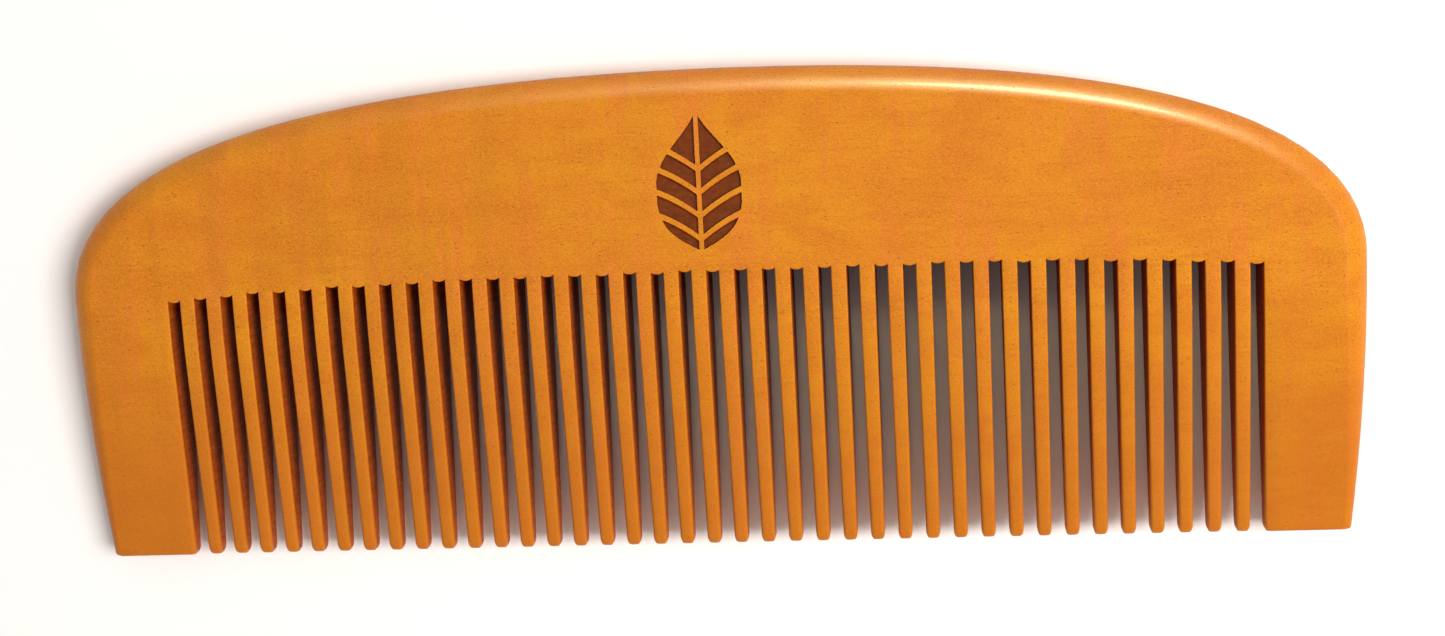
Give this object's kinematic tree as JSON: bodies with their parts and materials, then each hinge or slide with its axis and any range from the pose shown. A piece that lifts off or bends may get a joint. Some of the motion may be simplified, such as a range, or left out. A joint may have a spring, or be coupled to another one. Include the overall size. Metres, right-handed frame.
{
  "type": "beard comb",
  "caption": "Flat one-piece wooden beard comb with a rounded spine, a guard at each end and a single row of fine sawn teeth.",
  "frame": {"origin": "on the plane of the back face, under the middle of the comb's length and of its height from tooth tips to crest", "axes": "+X along the comb, +Y from the tooth tips towards the spine, +Z through the thickness, out of the marked front face"},
  "size_m": [0.14, 0.0518, 0.0058],
  "materials": {
    "waxed_wood": "satin, waxed; the mark in the front face is burnt dark brown"
  },
  "bodies": {
    "root": {"comb": "waxed_wood"}
  },
  "joints": []
}
